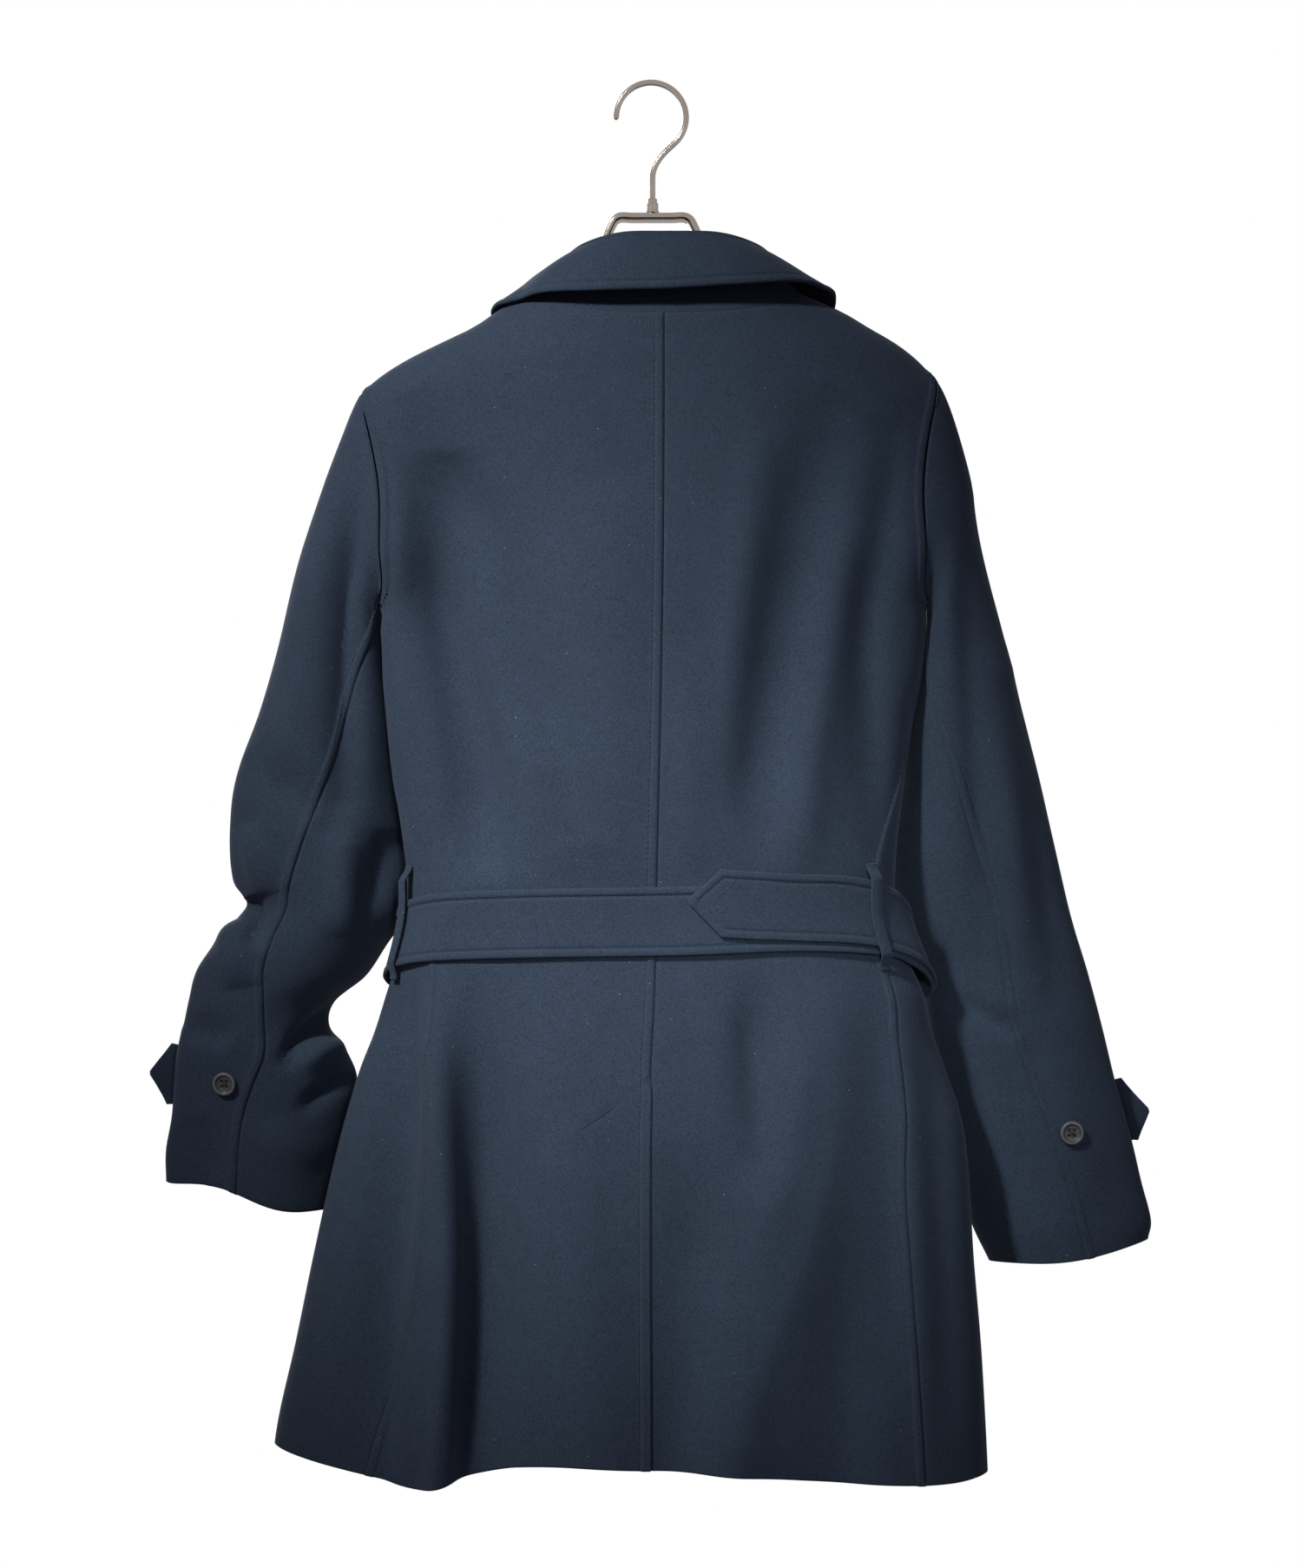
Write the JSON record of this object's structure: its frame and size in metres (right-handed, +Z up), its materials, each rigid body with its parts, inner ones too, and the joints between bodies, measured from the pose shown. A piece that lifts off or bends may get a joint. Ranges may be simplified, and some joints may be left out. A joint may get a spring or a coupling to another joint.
{
  "type": "trench coat",
  "caption": "Short belted trench coat of heavy wool on a hanger, with a turned-down collar, long set-in sleeves with buttoned cuff tabs, a pointed belt end and a centre back vent",
  "frame": {"origin": "the inside top of the hanger's hook, where it rests on a rail", "axes": "+Z is up, -Y is the side of the coat's back, which the picture shows, and +X is to the right in that view, the wearer's right"},
  "size_m": [0.7606, 0.1738, 1.048],
  "materials": {
    "wool_cloth": "dark navy felted wool with a short nap",
    "button": "dark grey with a soft shine",
    "hanger_metal": "polished, with a warm tint"
  },
  "bodies": {
    "root": {"back_left": "wool_cloth", "back_right": "wool_cloth", "front_left": "wool_cloth", "front_right": "wool_cloth", "vent_underlap": "wool_cloth", "collar_fall": "wool_cloth", "collar_stand": "wool_cloth", "sleeve_left_top": "wool_cloth", "sleeve_left_under": "wool_cloth", "sleeve_right_top": "wool_cloth", "sleeve_right_under": "wool_cloth", "belt": "wool_cloth", "belt_end": "wool_cloth", "belt_loop_left": "wool_cloth", "belt_loop_right": "wool_cloth", "cuff_tab_left": "wool_cloth", "cuff_tab_right": "wool_cloth", "cuff_button_left": "button", "cuff_button_right": "button", "front_button_1": "button", "front_button_2": "button", "front_button_3": "button", "front_button_4": "button", "front_button_5": "button", "front_button_6": "button", "belt_buckle": "button", "hanger_hook": "hanger_metal", "hanger_ferrule": "hanger_metal", "hanger_frame": "hanger_metal"}
  },
  "joints": []
}
